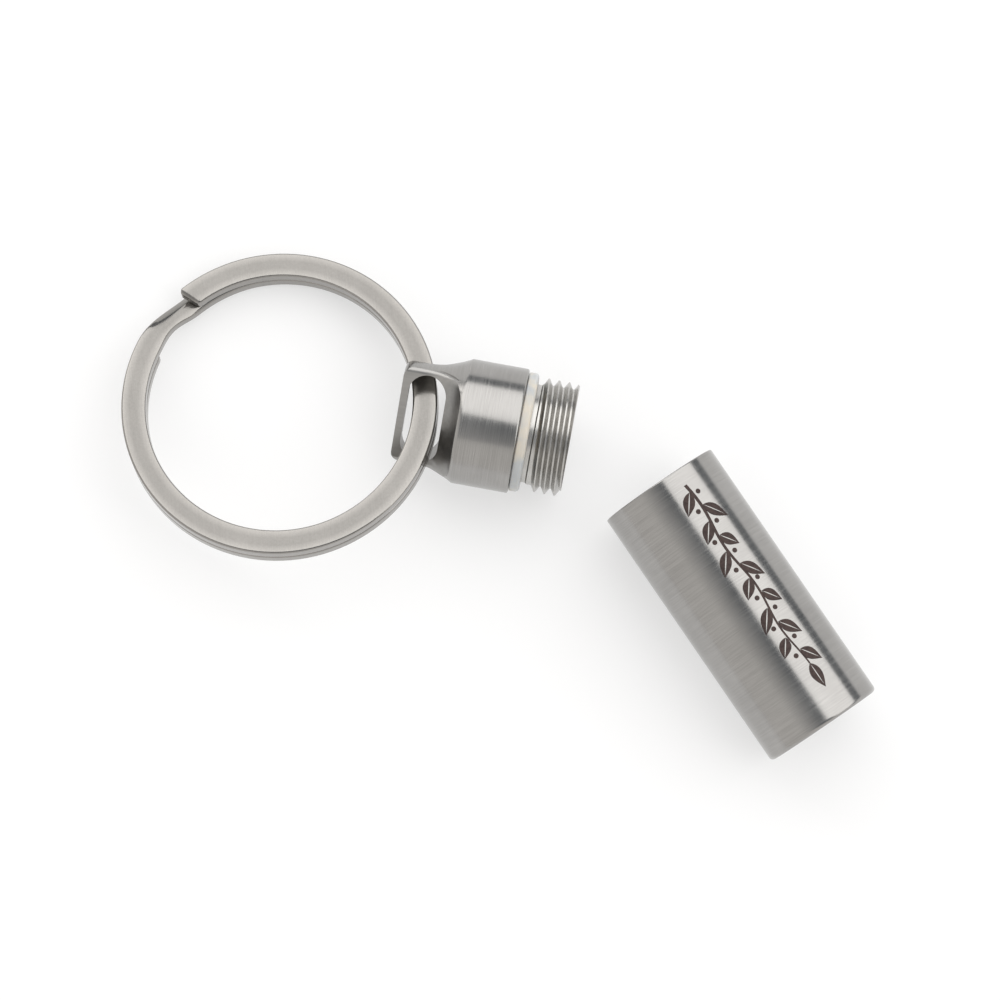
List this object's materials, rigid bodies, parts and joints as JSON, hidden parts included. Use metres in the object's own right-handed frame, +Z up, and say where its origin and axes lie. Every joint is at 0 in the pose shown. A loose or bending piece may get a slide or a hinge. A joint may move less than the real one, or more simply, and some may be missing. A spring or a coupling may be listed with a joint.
{
  "type": "oil vial keychain",
  "caption": "Small turned steel oil vial with a screw cap, seal ring and split key ring, shown unscrewed: the cap's slotted tang hangs on the ring and the blind-bored vial lies beside it.",
  "frame": {"origin": "on the table under the middle of the whole laid-out object", "axes": "+X along the vial towards its closed end, +Z up from the table"},
  "size_m": [0.071, 0.0478, 0.0123],
  "materials": {
    "brushed_vial": "fine brushing round the barrel",
    "brushed_cap": "fine brushing round the barrel, brighter cut thread and flats",
    "seal": "translucent pale silicone",
    "ring_wire": "satin nickel plate with faint mottling"
  },
  "bodies": {
    "vial": {"vial_tube": "brushed_vial"},
    "seal": {"seal_ring": "seal"},
    "cap": {"cap": "brushed_cap"},
    "ring": {"split_ring": "ring_wire"}
  },
  "joints": [
    {"name": "cap_swing", "type": "hinge", "parent": "vial", "child": "seal", "pos_m": [0.00831, 0.00575, 0.00615], "axis": [0, 0, -1], "range_deg": [0, 45.3]},
    {"name": "cap_turn", "type": "hinge", "parent": "seal", "child": "cap", "pos_m": [-0.00494, 0.00945, 0.00615], "axis": [0.7034, 0.7108, 0], "continuous": true},
    {"name": "ring_swing", "type": "hinge", "parent": "cap", "child": "ring", "pos_m": [-0.01146, 0.00286, 0.006], "axis": [-0.7583, 0.6089, -0.2329], "range_deg": [-25, 105]}
  ]
}
